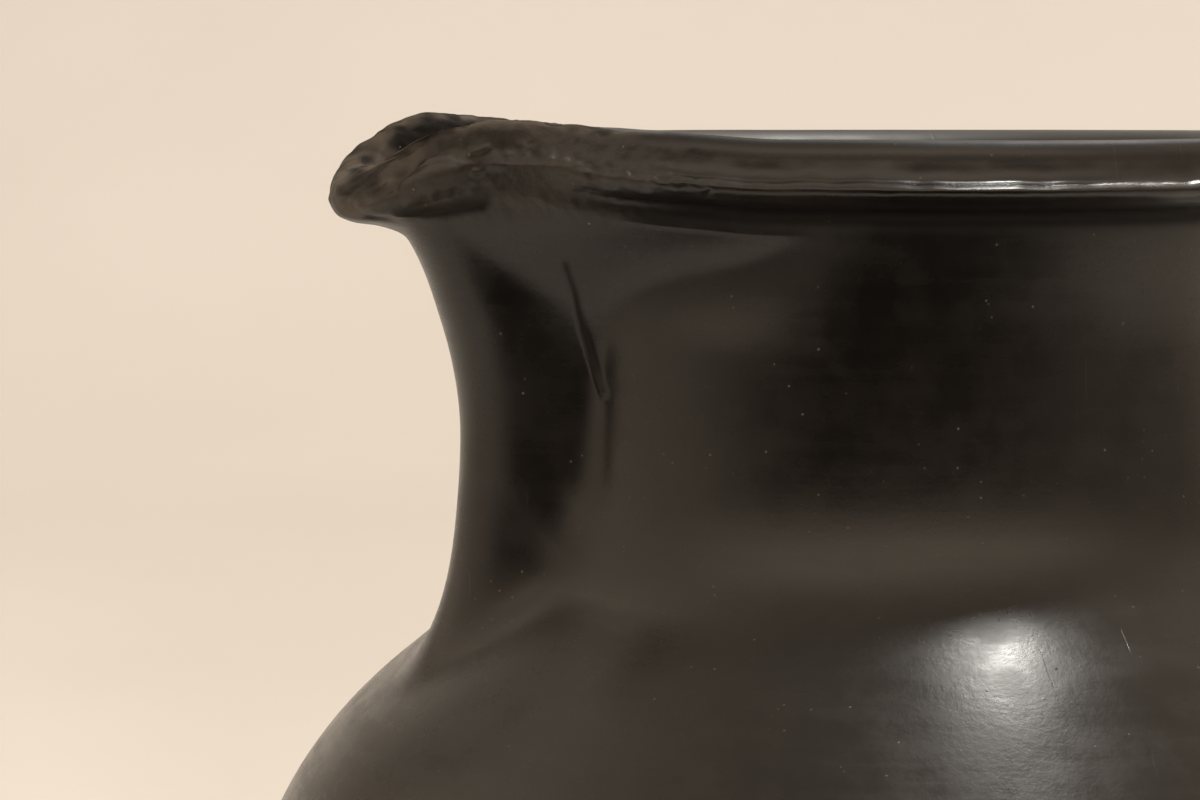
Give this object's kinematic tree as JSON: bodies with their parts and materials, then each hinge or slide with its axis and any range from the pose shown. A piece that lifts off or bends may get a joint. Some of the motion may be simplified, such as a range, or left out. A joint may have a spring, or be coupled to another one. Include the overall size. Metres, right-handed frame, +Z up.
{
  "type": "burnished black clay pitcher",
  "caption": "Round-bellied pitcher of burnished black clay with a rolled rim, a pinched and turned-down pouring spout and a strap handle.",
  "frame": {"origin": "middle of the flat foot, on the axis of the round body", "axes": "+Z up along the body's axis, -X towards the pouring spout, +X towards the handle"},
  "size_m": [0.2237, 0.2204, 0.238],
  "materials": {
    "burnished_clay": "stone-burnished to a soft gloss, smoke-fired black",
    "pinched_clay": "satin, finger-pinched, less burnished, smoke-fired black-brown",
    "matte_clay": "unburnished, dry grey-black"
  },
  "bodies": {
    "root": {"base_disc": "matte_clay", "lower_bowl": "burnished_clay", "belly_coil_lower": "burnished_clay", "belly_coil_upper": "burnished_clay", "shoulder_coil": "burnished_clay", "neck_coil_lower": "burnished_clay", "neck_coil_upper": "burnished_clay", "rim_coil": "burnished_clay", "spout_trough": "burnished_clay", "spout_lip_near": "pinched_clay", "spout_lip_far": "pinched_clay", "spout_beak": "pinched_clay", "spout_seam_near": "burnished_clay", "spout_seam_far": "burnished_clay", "handle_strap": "burnished_clay", "handle_upper_joint": "burnished_clay", "handle_lower_joint": "burnished_clay"}
  },
  "joints": []
}
